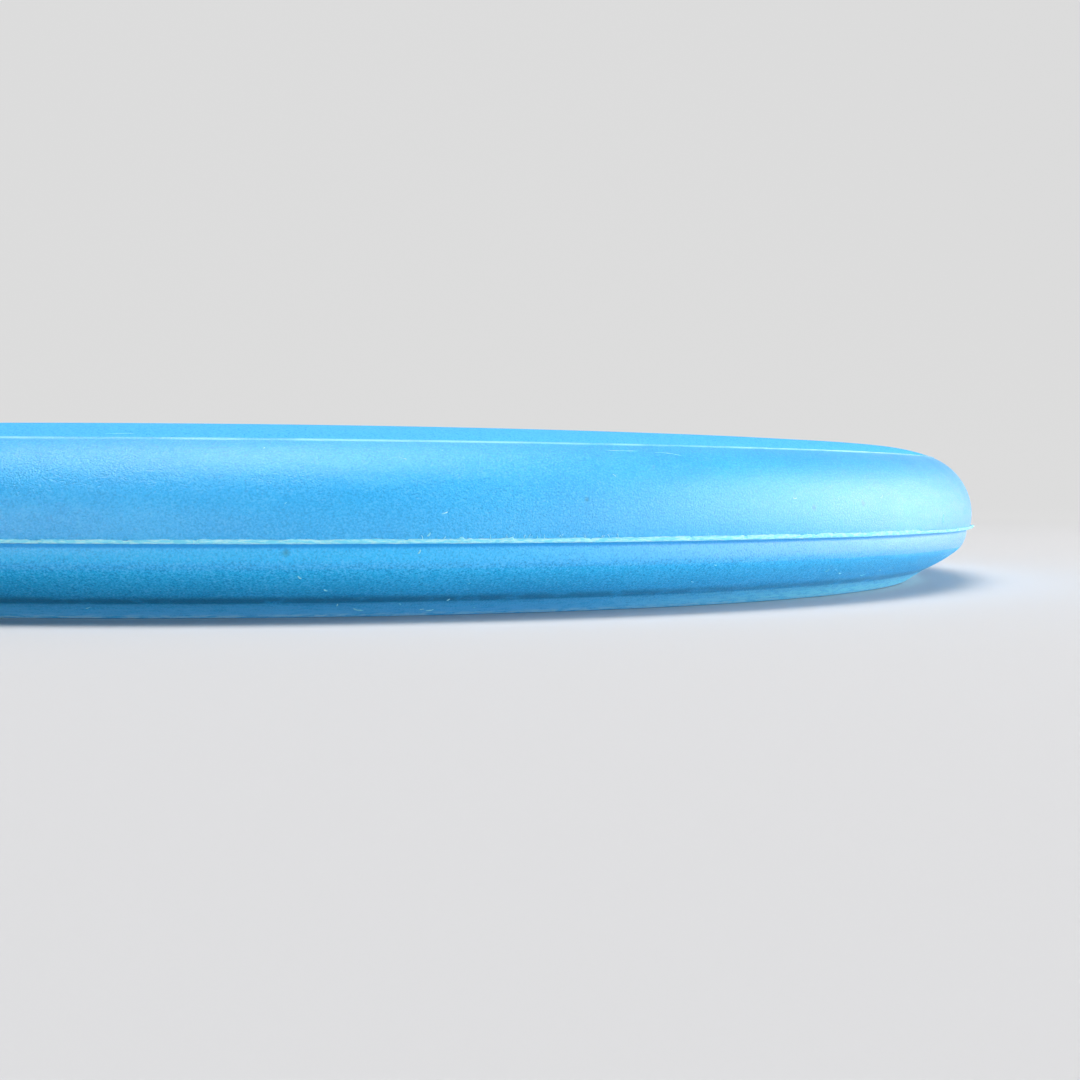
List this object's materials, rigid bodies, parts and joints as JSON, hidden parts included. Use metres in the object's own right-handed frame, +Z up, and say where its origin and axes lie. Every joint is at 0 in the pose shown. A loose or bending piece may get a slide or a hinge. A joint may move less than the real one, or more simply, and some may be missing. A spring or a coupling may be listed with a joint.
{
  "type": "flying disc",
  "caption": "Round plastic putt-and-approach golf disc with a low domed flight plate, a blunt round nose, an undercut lower rim with a bead, and a hollow underside.",
  "frame": {"origin": "centre of the standing face under the rim, on the disc's axis", "axes": "+Z up along the axis of symmetry, out of the flight plate's top; the disc is round, so +X and +Y are any two directions across it"},
  "size_m": [0.212, 0.212, 0.0196],
  "materials": {
    "disc_plastic": "sky-blue base plastic, one colour through and through, satin from the mould",
    "stamp_foil": "silver hot-stamp foil, bright and slightly wavy over the plastic"
  },
  "bodies": {
    "root": {"disc_body": "disc_plastic", "foil_outer_ring": "stamp_foil", "foil_inner_ring": "stamp_foil"}
  },
  "joints": []
}
